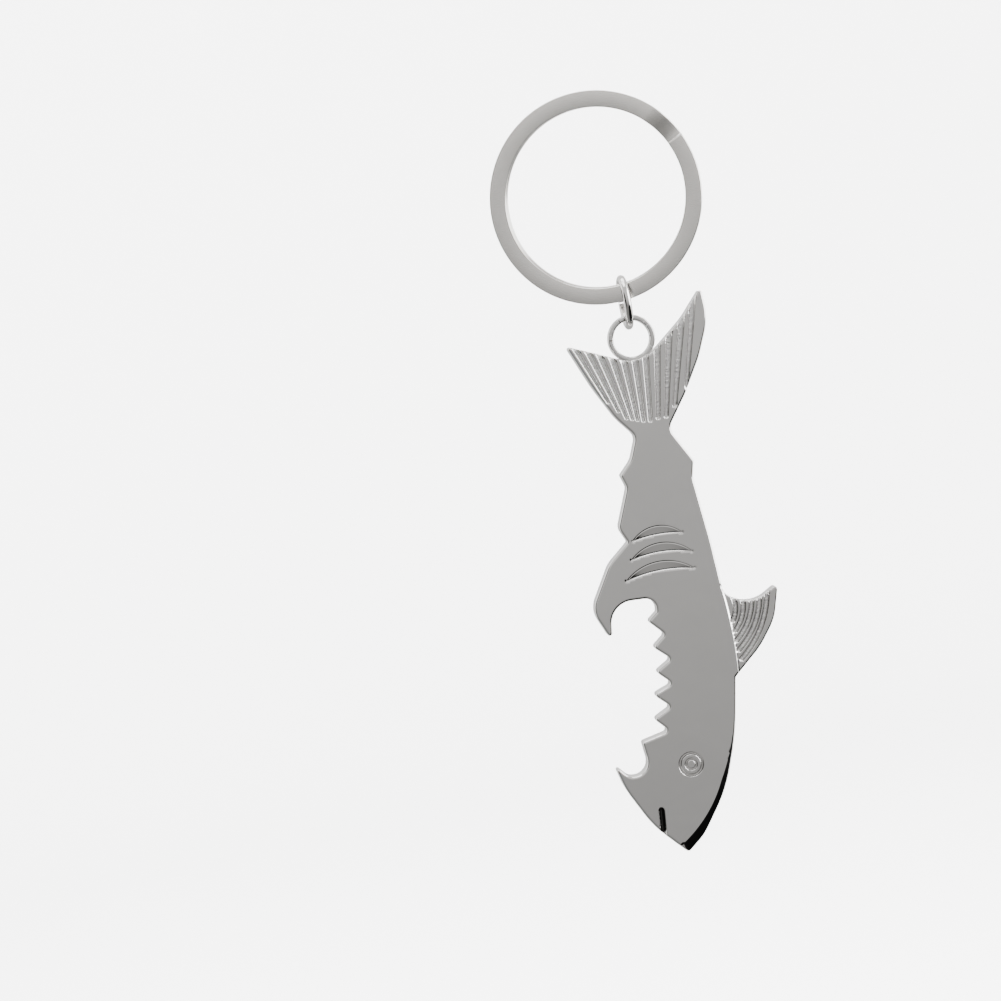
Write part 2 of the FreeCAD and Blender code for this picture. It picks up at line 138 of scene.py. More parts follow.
# Spacing of the points on a face, and the zones of the front with closer points:
# low x, high x, low z, high z, spacing.
COARSE = 1.1
FINE = 0.09
FACE_BOX = (-10.5, 17.5, -74.0, 6.5)
FINE_ZONES = [
    (-10.0, 11.2, -12.9, 6.4, FINE),
    (9.0, 17.3, -49.6, -36.4, FINE),
    (-5.0, 5.8, -34.3, -26.3, 0.3),
    (-4.1, -2.2, -71.4, -65.9, FINE),
    (-1.0, 9.6, -73.6, -52.0, 0.28),
]
# Rows of points beside the outline and beside each line of the relief.
EDGE_OFFSETS = [0.035, 0.08, 0.14, 0.21, 0.3, 0.42]
BEVEL_ROWS = [-0.07, 0, 0.07]
FIN_STEP_ROWS = [-0.04, 0.03, 0.1, 0.18]
GILL_ROWS = [-0.16, -0.1, -0.05, 0, 0.05, 0.1, 0.16]
EYE_ROWS = (0.15, 2.3, 0.055)
EYE_CLEARANCE = 2.35
ROW_MARGIN = 0.08
ROW_SLACK = 0.93
FILL_SLACK = 1.15
MERGE_CELL = 0.03
OUTLINE_STEP = 0.22


def rounded_path(corners):
    """Points along a closed outline whose corners are rounded by tangent arcs."""
    path = []
    count = len(corners)
    for i, (x, z, radius) in enumerate(corners):
        corner = np.array((x, z))
        before = np.array(corners[i - 1][:2]) - corner
        after = np.array(corners[(i + 1) % count][:2]) - corner
        before = before / np.linalg.norm(before)
        after = after / np.linalg.norm(after)
        half = math.acos(np.clip(before @ after, -1, 1)) / 2
        inward = (before + after) / np.linalg.norm(before + after)
        centre = corner + inward * radius / math.sin(half)
        start = corner + before * radius / math.tan(half) - centre
        end = corner + after * radius / math.tan(half) - centre
        first = math.atan2(start[1], start[0])
        sweep = (math.atan2(end[1], end[0]) - first + math.pi) % (2 * math.pi) - math.pi
        steps = max(6, int(abs(sweep) * radius / OUTLINE_STEP))
        for k in range(steps + 1):
            angle = first + sweep * k / steps
            path.append(centre + radius * np.array((math.cos(angle), math.sin(angle))))
    return densify(np.array(path), OUTLINE_STEP)


def densify(path, step):
    """A closed path with points added so that none are further apart than step."""
    dense = []
    for a, b in zip(path, np.roll(path, -1, axis=0)):
        pieces = max(1, int(math.ceil(np.linalg.norm(b - a) / step)))
        for k in range(pieces):
            dense.append(a + (b - a) * k / pieces)
    return np.array(dense)


def along_path(points, path, closed=False):
    """For each point: the distance to the path, and its signed side of the nearest stretch."""
    ends = np.roll(path, -1, axis=0) if closed else path[1:]
    starts = path if closed else path[:-1]
    span = ends - starts
    length2 = np.maximum((span ** 2).sum(1), 1e-12)
    distance = np.empty(len(points))
    side = np.empty(len(points))
    for low in range(0, len(points), 4000):
        part = points[low:low + 4000]
        offset = part[:, None, :] - starts[None]
        share = np.clip((offset * span[None]).sum(2) / length2, 0, 1)
        away = offset - share[..., None] * span[None]
        square = (away ** 2).sum(2)
        nearest = square.argmin(1)
        rows = np.arange(len(part))
        distance[low:low + 4000] = np.sqrt(square[rows, nearest])
        cross = span[nearest, 0] * offset[rows, nearest, 1] - span[nearest, 1] * offset[rows, nearest, 0]
        side[low:low + 4000] = np.sign(cross)
    return distance, side


def inside(points, path):
    """Which points lie inside a closed path, by counting crossings."""
    result = np.zeros(len(points), bool)
    x, z = points[:, 0], points[:, 1]
    for a, b in zip(path, np.roll(path, -1, axis=0)):
        crosses = (a[1] > z) != (b[1] > z)
        if a[1] != b[1]:
            result ^= crosses & (x < (b[0] - a[0]) * (z - a[1]) / (b[1] - a[1]) + a[0])
    return result


def smooth(low, high, value):
    share = np.clip((value - low) / (high - low), 0, 1)
    return share * share * (3 - 2 * share)


def arc_points(first, middle, last, count=40):
    """Points along the circular arc through three points."""
    a, b, c = (np.array(p, float) for p in (first, middle, last))
    d = 2 * (a[0] * (b[1] - c[1]) + b[0] * (c[1] - a[1]) + c[0] * (a[1] - b[1]))
    ux = ((a @ a) * (b[1] - c[1]) + (b @ b) * (c[1] - a[1]) + (c @ c) * (a[1] - b[1])) / d
    uz = ((a @ a) * (c[0] - b[0]) + (b @ b) * (a[0] - c[0]) + (c @ c) * (b[0] - a[0])) / d
    centre = np.array((ux, uz))
    radius = np.linalg.norm(a - centre)
    angles = [math.atan2(*(p - centre)[::-1]) for p in (a, b, c)]
    to_middle = (angles[1] - angles[0]) % (2 * math.pi)
    to_last = (angles[2] - angles[0]) % (2 * math.pi)
    sweep = to_last if to_middle < to_last else to_last - 2 * math.pi
    turn = angles[0] + sweep * np.linspace(0, 1, count)
    return centre + radius * np.column_stack((np.cos(turn), np.sin(turn)))


def groove(points, path, start_width, end_width):
    """How deep a U-ended groove is at each point, from 0 outside to 1 on its floor."""
    distance, _ = along_path(points, path)
    total = np.linalg.norm(path[-1] - path[0])
    share = np.clip(((points - path[0]) @ (path[-1] - path[0])) / total ** 2, 0, 1)
    half = (start_width + (end_width - start_width) * share) / 2
    return smooth(-GROOVE_LIP, GROOVE_WALL, half - distance)


def fin_path(top_x, top_z, root_x, root_z):
    top, root = np.array((top_x, top_z)), np.array((root_x, root_z))
    along = root - top
    across = np.array((-along[1], along[0]))
    return arc_points(top, (top + root) / 2 + across * FIN_RAY_BOW, root, 16)


def gill_arcs():
    for left, right, upper, lower in GILLS:
        yield arc_points(left, upper, right, 60), arc_points(left, lower, right, 60)


def relief(points):
    """Depth below the flat face, the share that is rough cast floor, and the share in shade."""
    rough = np.zeros(len(points))
    for top_x, top_z, root_x, root_z, top_width, root_width in TAIL_GROOVES:
        path = np.array([(top_x, top_z), (root_x, root_z)])
        rough = np.maximum(rough, groove(points, path, top_width, root_width))
    for ray in FIN_GROOVES:
        rough = np.maximum(rough, groove(points, fin_path(*ray), FIN_RAY_WIDTH, FIN_RAY_WIDTH))
    depth = GROOVE_DEPTH * rough
    to_step, side = along_path(points, FIN_STEP_PATH)
    on_fin = (points[:, 1] < FIN_STEP[0][1] + FIN_STEP_RISE) & (points[:, 1] > FIN_STEP[-1][1])
    depth += FIN_RECESS * smooth(*FIN_STEP_EDGE, np.where(on_fin, -side * to_step, -1))
    for above, below in gill_arcs():
        near = inside(points, np.vstack((above, below[::-1])))
        to_upper, _ = along_path(points, above)
        to_lower, _ = along_path(points, below)
        share = to_upper / (to_upper + to_lower + 1e-9)
        floor = GILL_FLOOR[0] + (GILL_FLOOR[1] - GILL_FLOOR[0]) * share
        floor = floor * smooth(0, GILL_FLOOR_EDGE, np.minimum(to_upper, to_lower))
        depth = np.maximum(depth, np.where(near, floor, 0))
        for (line_depth, reach), distance in zip(GILL_LINES, (to_upper, to_lower)):
            depth = np.maximum(depth, line_depth * (1 - smooth(0, reach, distance)))
    radius = np.linalg.norm(points - np.array(SHARK_EYE), axis=1)
    for middle, half_width, ring_depth in EYE_RINGS:
        bump = np.clip(1 - ((radius - middle) / half_width) ** 2, 0, 1)
        depth = np.maximum(depth, ring_depth * bump)
    slit_distance, _ = along_path(points, np.array(SLIT))
    # Painted shade: this share darkens the slit's colour nearly to black.
    shade = smooth(0, SLIT_EDGE, SLIT_HALF_WIDTH - slit_distance)
    within = np.clip(slit_distance / SLIT_HALF_WIDTH, 0, 1)
    depth = np.maximum(depth, SLIT_DEPTH * (1 - within ** 2))
    to_bevel, side = along_path(points, BEVEL_PATH)
    on_snout = (side < 0) & (to_bevel < BEVEL_REACH) & (points[:, 1] < BEVEL_TOP)
    depth = depth + BEVEL_SLOPE * np.where(on_snout, to_bevel, 0)
    return depth, rough, shade


def edge_drop(edge_distance):
    """Depth of the rounded edge at a distance from the outline."""
    reach = np.clip(EDGE_ROUND - edge_distance, 0, EDGE_ROUND)
    return EDGE_ROUND - np.sqrt(np.maximum(EDGE_ROUND ** 2 - reach ** 2, 0))


def hexagonal_grid(low_x, high_x, low_z, high_z, step):
    rows = int((high_z - low_z) / (step * math.sqrt(0.75))) + 1
    grid = []
    for row in range(rows):
        x = np.arange(low_x + (row % 2) * step / 2, high_x, step)
        grid.append(np.column_stack((x, np.full(len(x), low_z + row * step * math.sqrt(0.75)))))
    return np.vstack(grid)


def beside(path, step, offsets):
    """Rows of points beside an open path, and how far around it they reach."""
    count = max(2, int(np.linalg.norm(np.diff(path, axis=0), axis=1).sum() / step))
    share = np.linspace(0, 1, count)
    length = np.append(0, np.cumsum(np.linalg.norm(np.diff(path, axis=0), axis=1)))
    length = length / length[-1]
    line = np.column_stack([np.interp(share, length, path[:, k]) for k in (0, 1)])
    ahead = np.gradient(line, axis=0)
    ahead = ahead / np.linalg.norm(ahead, axis=1)[:, None]
    across = np.column_stack((-ahead[:, 1], ahead[:, 0]))
    return np.vstack([line + across * offset for offset in offsets]), (path, max(offsets) + ROW_MARGIN)


def thinned(points, lines):
    """The points that are clear of the shark's eye and of the rows beside each line."""
    points = points[np.linalg.norm(points - np.array(SHARK_EYE), axis=1) > EYE_CLEARANCE]
    for _, (path, reach) in lines:
        distance, _ = along_path(points, path)
        points = points[distance > reach]
    return points


def face_points(outline, detailed):
    """Interior points of one face: rows beside the outline, fine zones and a coarse fill."""
    ahead = np.roll(outline, -1, axis=0) - np.roll(outline, 1, axis=0)
    ahead = ahead / np.linalg.norm(ahead, axis=1)[:, None]
    inward = np.column_stack((-ahead[:, 1], ahead[:, 0]))
    rows = []
    for offset in EDGE_OFFSETS:
        row = outline + inward * offset
        distance, _ = along_path(row, outline, True)
        rows.append(row[inside(row, outline) & (distance > offset * ROW_SLACK)])
    band = np.vstack(rows)
    fill = hexagonal_grid(*FACE_BOX, COARSE)
    zones = []
    if detailed:
        for low_x, high_x, low_z, high_z, step in FINE_ZONES:
            outside = ((fill[:, 0] < low_x) | (fill[:, 0] > high_x)
                       | (fill[:, 1] < low_z) | (fill[:, 1] > high_z))
            fill = fill[outside]
            zones.append(hexagonal_grid(low_x, high_x, low_z, high_z, step))
        rings = [np.array([SHARK_EYE])]
        for radius in np.arange(*EYE_ROWS):
            around = 120 if radius > 1 else 72 if radius > 0.5 else 36
            turn = np.linspace(0, 2 * math.pi, around, endpoint=False)
            rings.append(np.array(SHARK_EYE) + radius * np.column_stack((np.cos(turn), np.sin(turn))))
        lines = [beside(BEVEL_PATH, 0.12, BEVEL_ROWS), beside(FIN_STEP_PATH, 0.1, FIN_STEP_ROWS)]
        for arc in [arc for pair in gill_arcs() for arc in pair]:
            lines.append(beside(arc, 0.1, GILL_ROWS))
        zones = [thinned(zone, lines) for zone in [fill] + zones]
        fill = zones.pop(0)
        zones += rings + [line for line, _ in lines]
    fill = np.vstack([fill] + zones)
    fill = fill[inside(fill, outline)]
    distance, _ = along_path(fill, outline, True)
    fill = fill[distance > EDGE_OFFSETS[-1] * FILL_SLACK]
    points = np.vstack((band, fill))
    cells = np.round(points / MERGE_CELL).astype(int)
    _, first = np.unique(cells, axis=0, return_index=True)
    return points[np.sort(first)]


def triangulate(outline, points):
    """Triangles over the outline's points followed by the interior points."""
    flat = np.vstack((outline, points))
    count = len(outline)
    edges = [(i, (i + 1) % count) for i in range(count)]
    verts, _, faces, origins, _, _ = delaunay_2d_cdt(
        [Vector(p) for p in flat], edges, [list(range(count))], 1, 1e-7)
    order = [origin[0] for origin in origins]
    return flat, [[order[v] for v in face] for face in faces]


def opener_mesh():
    """The whole casting but the cast eye, front face towards -Y, in millimetres."""
    outline = rounded_path(OUTLINE)
    count = len(outline)
    verts, rough, shade, faces = [], [], [], []
    tops = []
    for side in (-1, 1):
        flat, triangles = triangulate(outline, face_points(outline, side < 0))
        distance, _ = along_path(flat, outline, True)
        distance[:count] = 0
        depth = edge_drop(distance)
        floor = dim = np.zeros(len(flat))
        if side < 0:
            carved, floor, dim = relief(flat)
            depth = np.maximum(depth, carved) + RELIEF_BLEND * np.minimum(depth, carved)
        height = side * (HALF_THICKNESS - depth)
        base = len(verts)
        verts += [(x, y, z) for (x, z), y in zip(flat, height)]
        rough += list(floor)
        shade += list(dim)
        for a, b, c in triangles:
            faces.append((base + a, base + c, base + b) if side > 0 else (base + a, base + b, base + c))
        tops.append((base, height[:count]))
    wall = [[tops[0][0] + i for i in range(count)]]
    for row in range(1, WALL_ROWS):
        share = row / WALL_ROWS
        base = len(verts)
        level = tops[0][1] * (1 - share) + tops[1][1] * share
        verts += [(x, y, z) for (x, z), y in zip(outline, level)]
        rough += [0.0] * count
        shade += [0.0] * count
        wall.append([base + i for i in range(count)])
    wall.append([tops[1][0] + i for i in range(count)])
    for upper, lower in zip(wall, wall[1:]):
        for i in range(count):
            j = (i + 1) % count
            faces.append((upper[i], lower[i], lower[j], upper[j]))
    return verts, faces, {"grain": rough, "shade": shade}


FIN_STEP_PATH = arc_points(*FIN_STEP, 40)[::-1]
BEVEL_PATH = np.vstack((arc_points(*SNOUT_BEVEL[:3], 60), arc_points(*SNOUT_BEVEL[2:], 60)[1:]))


def ring_of_section(section, path_points, path_outward, sideways, closed):
    """Sweeps a section of (outward, sideways) offsets along a path of stations."""
    verts, faces = [], []
    width = len(section)
    for point, outward in zip(path_points, path_outward):
        for out, across in section:
            verts.append(tuple(point + outward * out + sideways * across))
    stations = len(path_points)
    last = stations if closed else stations - 1
    for i in range(last):
        a, b = i * width, (i + 1) % stations * width
        for k in range(width):
            m = (k + 1) % width
            faces.append((a + k, b + k, b + m, a + m))
    if not closed:
        faces.append(tuple(range(width)))
        faces.append(tuple((stations - 1) * width + k for k in range(width))[::-1])
    return verts, faces


def superellipse(half_out, half_across, power, count):
    section = []
    for k in range(count):
        angle = 2 * math.pi * k / count
        c, s = math.cos(angle), math.sin(angle)
        section.append((half_out * math.copysign(abs(c) ** (2 / power), c),
                        half_across * math.copysign(abs(s) ** (2 / power), s)))
    return section


def rounded_rectangle(half_out, half_across, radius):
    section = []
    for turn, (sx, sy) in enumerate(((1, 1), (-1, 1), (-1, -1), (1, -1))):
        for k in range(CORNER_STEPS + 1):
            angle = math.pi / 2 * (turn + k / CORNER_STEPS)
            section.append((sx * (half_out - radius) + radius * math.cos(angle),
                            sy * (half_across - radius) + radius * math.sin(angle)))
    return section


def new_object(name, verts, faces, material, transform, attributes=None):
    mesh = bpy.data.meshes.new(name)
    mesh.from_pydata(verts, [], faces)
    mesh.transform(transform)
    mesh.validate()
    for label, values in (attributes or {}).items():
        layer = mesh.attributes.new(label, "FLOAT", "POINT")
        layer.data.foreach_set("value", np.array(values, np.float32))
    for polygon in mesh.polygons:
        polygon.use_smooth = True
    mesh.materials.append(material)
    piece = bpy.data.objects.new(name, mesh)
    bpy.context.scene.collection.objects.link(piece)
    return piece


# -------------------------------------------------------------- key ring, link
RING_OUTER = 15.0
RING_BORE = 12.7
TURN_THICKNESS = 0.8
TURN_GAP = 0.1
CRANK_HALF = math.radians(10.0)
END_GAP = math.radians(1.34)
RING_ROLL = math.radians(-52.0)
STRIP_ROUND = 0.13
TURN_OFFSET = 0.1
LINK_MIDDLE = 3.35
LINK_WIRE = 0.548
LINK_GAP = math.radians(1.2)
EYE_MIDDLE = 2.96
EYE_HALF_WIDTH = 0.39
EYE_HALF_THICKNESS = 0.9
EYE_SQUARENESS = 4.5
# Stations along each sweep, and points round the wire and the cast eye's band.
TURN_STATIONS = 260
CRANK_STATIONS = 40
LINK_STATIONS = 160
EYE_STATIONS = 180
LINK_SIDES = 28
EYE_SIDES = 48
CORNER_STEPS = 5


def split_ring_mesh():
    """Two turns of flat strip joined by a crank, its axis along Y, in millimetres."""
    middle = (RING_OUTER + RING_BORE) / 2
    width = (RING_OUTER - RING_BORE) / 2
    level = (TURN_THICKNESS + TURN_GAP) / 2
    start = CRANK_HALF + END_GAP
    finish = 4 * math.pi - CRANK_HALF - END_GAP
    crank_from, crank_to = 2 * math.pi - CRANK_HALF, 2 * math.pi + CRANK_HALF
    turns = np.concatenate((
        np.linspace(start, crank_from, TURN_STATIONS, endpoint=False),
        np.linspace(crank_from, crank_to, CRANK_STATIONS, endpoint=False),
        np.linspace(crank_to, finish, TURN_STATIONS)))
    points, outwards = [], []
    for turn in turns:
        outward = Vector((math.sin(turn), 0, math.cos(turn)))
        share = float(smooth(crank_from, crank_to, turn))
        radius = middle - TURN_OFFSET * share
        shift = Vector((1, 0, -1)).normalized() * (-TURN_OFFSET * share)
        points.append(outward * radius + shift + Vector((0, level * (2 * share - 1), 0)))
        outwards.append(outward)
    section = rounded_rectangle(width, TURN_THICKNESS / 2, STRIP_ROUND)
    return ring_of_section(section, points, outwards, Vector((0, 1, 0)), False)


def link_mesh():
    """Round wire bent into a ring about X, its butt joint towards +Y."""
    turns = np.linspace(LINK_GAP, 2 * math.pi - LINK_GAP, LINK_STATIONS)
    outwards = [Vector((0, math.cos(turn), math.sin(turn))) for turn in turns]
    points = [outward * LINK_MIDDLE for outward in outwards]
    section = superellipse(LINK_WIRE, LINK_WIRE, 2, LINK_SIDES)
    return ring_of_section(section, points, outwards, Vector((1, 0, 0)), False)


def cast_eye_mesh():
    """The band round the opener's hole, its axis along Y, in millimetres."""
    turns = np.linspace(0, 2 * math.pi, EYE_STATIONS, endpoint=False)
    outwards = [Vector((math.sin(turn), 0, math.cos(turn))) for turn in turns]
    points = [outward * EYE_MIDDLE for outward in outwards]
    section = superellipse(EYE_HALF_WIDTH, EYE_HALF_THICKNESS, EYE_SQUARENESS, EYE_SIDES)
    return ring_of_section(section, points, outwards, Vector((0, 1, 0)), True)


# ------------------------------------------------------------------ materials
def new_material(name):
    material = bpy.data.materials.new(name)
    material.use_nodes = True
    nodes = material.node_tree.nodes
    links = material.node_tree.links
    shader = nodes["Principled BSDF"]
    shader.inputs["Metallic"].default_value = 1.0
    return material, nodes, links, shader


def object_noise(nodes, links, scale, detail, stretch=None):
    """Noise in object space, scale in waves per metre."""
    coordinates = nodes.new("ShaderNodeTexCoord")
    noise = nodes.new("ShaderNodeTexNoise")
    noise.inputs["Scale"].default_value = scale
    noise.inputs["Detail"].default_value = detail
    source = coordinates.outputs["Object"]
    if stretch is not None:
        mapping = nodes.new("ShaderNodeMapping")
        mapping.inputs["Scale"].default_value = stretch
        links.new(source, mapping.inputs["Vector"])
        source = mapping.outputs["Vector"]
    links.new(source, noise.inputs["Vector"])
    return noise.outputs["Fac"]


def ranged(nodes, links, value, low, high, new_low, new_high):
    remap = nodes.new("ShaderNodeMapRange")
    remap.inputs["From Min"].default_value = low
    remap.inputs["From Max"].default_value = high
    remap.inputs["To Min"].default_value = new_low
    remap.inputs["To Max"].default_value = new_high
    links.new(value, remap.inputs["Value"])
    return remap.outputs["Result"]


def mixed(nodes, links, share, first, second):
    """A blend of two colours, where the first may come from another node."""
    mix = nodes.new("ShaderNodeMix")
    mix.data_type = "RGBA"
    if isinstance(first, tuple):
        mix.inputs["A"].default_value = first
    else:
        links.new(first, mix.inputs["A"])
    mix.inputs["B"].default_value = second
    links.new(share, mix.inputs["Factor"])
    return mix.outputs["Result"]


def own_share(nodes, name):
    """A share from 0 to 1 that the mesh carries at its points."""
    attribute = nodes.new("ShaderNodeAttribute")
    attribute.attribute_name = name
    return attribute.outputs["Fac"]


def combined(nodes, links, operation, first, second):
    node = nodes.new("ShaderNodeMath")
    node.operation = operation
    for socket, value in zip(node.inputs, (first, second)):
        if isinstance(value, (int, float)):
            socket.default_value = value
        else:
            links.new(value, socket)
    return node.outputs["Value"]


def bumped(nodes, links, height, strength, distance, below=None):
    bump = nodes.new("ShaderNodeBump")
    bump.inputs["Strength"].default_value = strength
    bump.inputs["Distance"].default_value = distance
    links.new(height, bump.inputs["Height"])
    if below is not None:
        links.new(below, bump.inputs["Normal"])
    return bump.outputs["Normal"]


def chrome_material():
    """Polished chrome plate: faintly wavy, grainy on the groove floors, a few pits."""
    material, nodes, links, shader = new_material("mirror_chrome")
    tint = mixed(nodes, links, object_noise(nodes, links, 60, 3),
                 (0.68, 0.67, 0.66, 1), (0.74, 0.73, 0.72, 1))
    share = ranged(nodes, links, own_share(nodes, "grain"), 0.82, 1.0, 0.0, 1.0)
    frosted = mixed(nodes, links, share, tint, (0.95, 0.945, 0.94, 1))
    # Painted shade: the colour goes nearly black where the mesh's shade share is high, in the slit.
    shaded = mixed(nodes, links, own_share(nodes, "shade"), frosted, (0.09, 0.088, 0.085, 1))
    links.new(shaded, shader.inputs["Base Color"])
    haze = ranged(nodes, links, object_noise(nodes, links, 240, 5), 0.35, 0.75, 0.035, 0.075)
    grain_haze = combined(nodes, links, "MULTIPLY", share, 0.3)
    links.new(combined(nodes, links, "ADD", haze, grain_haze), shader.inputs["Roughness"])
    waves = bumped(nodes, links, object_noise(nodes, links, 160, 2), 0.05, 0.0004)
    pits = nodes.new("ShaderNodeTexVoronoi")
    pits.inputs["Scale"].default_value = 420
    coordinates = nodes.new("ShaderNodeTexCoord")
    links.new(coordinates.outputs["Object"], pits.inputs["Vector"])
    holes = ranged(nodes, links, pits.outputs["Distance"], 0.05, 0.1, 0, 1)
    sparse = ranged(nodes, links, object_noise(nodes, links, 150, 1), 0.66, 0.7, 1, 0)
    holes = combined(nodes, links, "MAXIMUM", holes, sparse)
    pitted = bumped(nodes, links, holes, 0.5, 0.00008, waves)
    grain = combined(nodes, links, "MULTIPLY", object_noise(nodes, links, 3200, 3), share)
    links.new(bumped(nodes, links, grain, 0.9, 0.00022, pitted), shader.inputs["Normal"])
    return material


def satin_nickel_material():
    """Satin plate with a fine even grain and smoother rounded edges."""
    material, nodes, links, shader = new_material("satin_nickel")
    tint = mixed(nodes, links, object_noise(nodes, links, 900, 4),
                 (0.90, 0.875, 0.84, 1), (0.97, 0.95, 0.92, 1))
    links.new(tint, shader.inputs["Base Color"])
    haze = ranged(nodes, links, object_noise(nodes, links, 2500, 4), 0.3, 0.7, 0.30, 0.42)
    polish = combined(nodes, links, "MULTIPLY", own_share(nodes, "edge"), -0.2)
    links.new(combined(nodes, links, "ADD", haze, polish), shader.inputs["Roughness"])
    fine = object_noise(nodes, links, 6000, 4)
    links.new(bumped(nodes, links, fine, 0.25, 0.00004), shader.inputs["Normal"])
    return material


def bright_nickel_material():
    """Bright plate over drawn wire, with faint marks along the wire."""
    material, nodes, links, shader = new_material("bright_nickel")
    tint = mixed(nodes, links, object_noise(nodes, links, 500, 3),
                 (0.62, 0.61, 0.59, 1), (0.72, 0.71, 0.70, 1))
    links.new(tint, shader.inputs["Base Color"])
    haze = ranged(nodes, links, object_noise(nodes, links, 1500, 4), 0.3, 0.7, 0.06, 0.14)
    links.new(haze, shader.inputs["Roughness"])
    marks = object_noise(nodes, links, 1800, 4, (4.0, 1.0, 1.0))
    links.new(bumped(nodes, links, marks, 0.15, 0.00005), shader.inputs["Normal"])
    return material


def floor_material():
    material, nodes, links, shader = new_material("pale_floor")
    shader.inputs["Metallic"].default_value = 0.0
    shader.inputs["Roughness"].default_value = 0.9
    tint = mixed(nodes, links, object_noise(nodes, links, 3, 2),
                 (0.90, 0.90, 0.90, 1), (0.93, 0.93, 0.93, 1))
    links.new(tint, shader.inputs["Base Color"])
    return material


# --------------------------------------------------------------------- pieces
def to_metres(position, rotation=Matrix.Identity(4)):
    return Matrix.Translation(position) @ rotation @ Matrix.Scale(MM, 4)


def build_opener(material):
    eye_centre = LINK_CENTRE - Vector((0, 0, EYE_DROP * MM))
    place = to_metres(eye_centre, Matrix.Rotation(HANG_ANGLE, 4, "Y"))
    verts, faces, shares = opener_mesh()
    piece = new_object("shark_opener", verts, faces, material, place, shares)
    verts, faces = cast_eye_mesh()
    plain_metal = [0.0] * len(verts)
    eye = new_object("cast_eye", verts, faces, material, place,
                     {"grain": plain_metal, "shade": plain_metal})
    join = piece.modifiers.new("join", "BOOLEAN")
    join.operation = "UNION"
    join.solver = "EXACT"
    join.object = eye
    bpy.context.view_layer.update()
    graph = bpy.context.evaluated_depsgraph_get()
    joined = bpy.data.meshes.new_from_object(piece.evaluated_get(graph))
    piece.modifiers.clear()
    piece.data = joined
    bpy.data.objects.remove(eye)
    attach(piece, "opener")
    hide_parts("opener_body")


def build_link(material):
    verts, faces = link_mesh()
    piece = new_object("connecting_link", verts, faces, material, to_metres(LINK_CENTRE))
    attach(piece, "link")
    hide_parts("jump_ring")


def build_ring(material):
    yaw = math.atan2(-RING_AXIS.x, RING_AXIS.y)
    turned = Matrix.Rotation(yaw, 4, "Z") @ Matrix.Rotation(-RING_ROLL, 4, "Y")
    verts, faces = split_ring_mesh()
    width = (RING_OUTER - RING_BORE) / 2
    section = rounded_rectangle(width, TURN_THICKNESS / 2, STRIP_ROUND)
    edge = [1.0 if abs(out) > width - STRIP_ROUND - 1e-6 else 0.0 for out, _ in section]
    stations = len(verts) // len(section)
    piece = new_object("two_turn_ring", verts, faces, material, to_metres(RING_CENTRE, turned),
                       {"edge": edge * stations})
    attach(piece, "key_ring")
    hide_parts("split_key_ring")


# ------------------------------------------------------ camera, lights, floor
CAMERA_ROLL = math.radians(10.1)
CAMERA_LEFT = math.radians(4.0)
CAMERA_UP = math.radians(3.0)
CAMERA_DISTANCE = 0.42
VIEW_WIDTH = 0.141
LOOK_AT = LINK_CENTRE + Vector((-0.02215, 0, -0.02435))
IMAGE_RIGHT = Vector((math.cos(CAMERA_ROLL), 0, -math.sin(CAMERA_ROLL)))
IMAGE_UP = Vector((math.sin(CAMERA_ROLL), 0, math.cos(CAMERA_ROLL)))
TOWARDS_CAMERA = Vector((0, -1, 0))


def build_camera():
    camera = bpy.data.cameras.new("camera")
    camera.sensor_width = 36.0
    camera.lens = 36.0 * CAMERA_DISTANCE / VIEW_WIDTH
    camera.clip_start = 0.01
    camera.clip_end = 20.0
    holder = bpy.data.objects.new("camera", camera)
    bpy.context.scene.collection.objects.link(holder)
    away = (TOWARDS_CAMERA - IMAGE_RIGHT * math.tan(CAMERA_LEFT)
            + IMAGE_UP * math.tan(CAMERA_UP)).normalized()
    right = IMAGE_UP.cross(away).normalized()
    up = away.cross(right).normalized()
    turn = Matrix((right, up, away)).transposed().to_4x4()
    holder.matrix_world = Matrix.Translation(LOOK_AT + away * CAMERA_DISTANCE) @ turn
    bpy.context.scene.camera = holder


def softbox(name, direction, distance, size, power, reflected):
    light = bpy.data.lights.new(name, "AREA")
    light.shape = "RECTANGLE"
    light.size, light.size_y = size
    light.energy = power
    holder = bpy.data.objects.new(name, light)
    bpy.context.scene.collection.objects.link(holder)
    direction = direction.normalized()
    holder.location = LOOK_AT + direction * distance
    holder.rotation_euler = direction.to_track_quat("Z", "Y").to_euler()
    holder.visible_glossy = reflected


def build_lights():
    softbox("left_softbox", -IMAGE_RIGHT * 0.6 + IMAGE_UP * 0.75 + TOWARDS_CAMERA * 0.5,
            0.75, (0.45, 0.6), 22.0, False)
    softbox("right_softbox", IMAGE_RIGHT * 0.95 + IMAGE_UP * 0.45 + TOWARDS_CAMERA * 0.3,
            0.75, (0.45, 0.6), 7.0, True)
    softbox("top_softbox", Vector((0, 0.1, 1)), 0.9, (0.8, 0.8), 9.0, True)
    softbox("backdrop_light", Vector((0, -0.75, 0.65)), 0.95, (0.9, 0.9), 40.0, False)


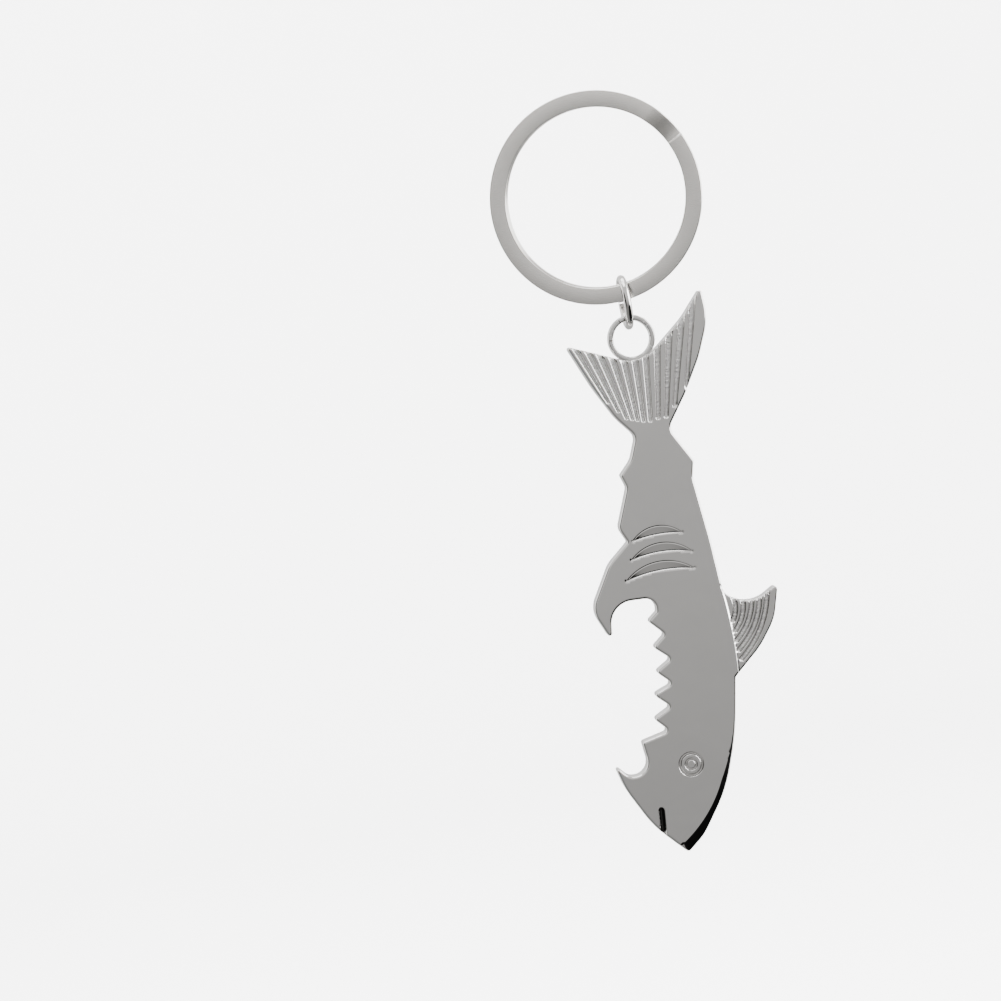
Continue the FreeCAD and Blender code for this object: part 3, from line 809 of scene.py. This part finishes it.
def build_world():
    """Soft surroundings: bright above and at both sides, dark at the front left and low right."""
    world = bpy.data.worlds.new("studio")
    world.use_nodes = True
    bpy.context.scene.world = world
    nodes, links = world.node_tree.nodes, world.node_tree.links
    background = nodes["Background"]
    coordinates = nodes.new("ShaderNodeTexCoord")

    def towards(direction, low, high, low_value, high_value):
        dot = nodes.new("ShaderNodeVectorMath")
        dot.operation = "DOT_PRODUCT"
        links.new(coordinates.outputs["Generated"], dot.inputs[0])
        dot.inputs[1].default_value = direction.normalized()
        remap = nodes.new("ShaderNodeMapRange")
        remap.interpolation_type = "SMOOTHSTEP"
        for name, value in (("From Min", low), ("From Max", high),
                            ("To Min", low_value), ("To Max", high_value)):
            remap.inputs[name].default_value = value
        links.new(dot.outputs["Value"], remap.inputs["Value"])
        return remap.outputs["Result"]

    level = towards(IMAGE_UP, -0.4, 0.4, 0.3, 1.1)
    behind = towards(-TOWARDS_CAMERA, -0.2, 0.8, 0.0, 0.5)
    level = combined(nodes, links, "ADD", level, behind)
    right_side = IMAGE_RIGHT * 0.9 + IMAGE_UP * 0.3 + TOWARDS_CAMERA * 0.1
    level = combined(nodes, links, "ADD", level, towards(right_side, 0.7, 0.93, 0.0, 3.0))
    left_side = -IMAGE_RIGHT * 0.9 - TOWARDS_CAMERA * 0.45
    level = combined(nodes, links, "ADD", level, towards(left_side, 0.75, 0.93, 0.0, 1.2))
    left_card = -IMAGE_RIGHT * 0.88 + TOWARDS_CAMERA * 0.47
    level = combined(nodes, links, "MULTIPLY", level, towards(left_card, 0.88, 0.94, 1.0, 0.04))
    dark = IMAGE_RIGHT * 0.65 - IMAGE_UP * 0.6 + TOWARDS_CAMERA * 0.5
    level = combined(nodes, links, "MULTIPLY", level, towards(dark, 0.72, 0.84, 1.0, 0.02))
    links.new(level, background.inputs["Strength"])
    background.inputs["Color"].default_value = (1.0, 0.99, 0.975, 1)


def build_floor(material):
    """A round pale floor that sweeps up into a wall all round."""
    depth = -0.17
    radius, sweep, height = 1.0, 0.45, 1.6
    steps = 16
    profile = [(0.001, depth), (radius - sweep, depth)]
    for k in range(1, steps + 1):
        angle = math.pi / 2 * k / steps
        profile.append((radius - sweep + sweep * math.sin(angle), depth + sweep * (1 - math.cos(angle))))
    profile.append((radius, depth + height))
    verts, faces = [], []
    around = 96
    for r, z in profile:
        for k in range(around):
            turn = 2 * math.pi * k / around
            verts.append((r * math.cos(turn), r * math.sin(turn), z))
    for i in range(len(profile) - 1):
        for k in range(around):
            m = (k + 1) % around
            faces.append((i * around + k, i * around + m, (i + 1) * around + m, (i + 1) * around + k))
    floor = new_object("pale_floor", verts, faces, material, Matrix.Identity(4))
    floor.visible_glossy = False
    floor.visible_shadow = False


build_opener(chrome_material())
build_link(bright_nickel_material())
build_ring(satin_nickel_material())
build_floor(floor_material())
build_lights()
build_world()
build_camera()
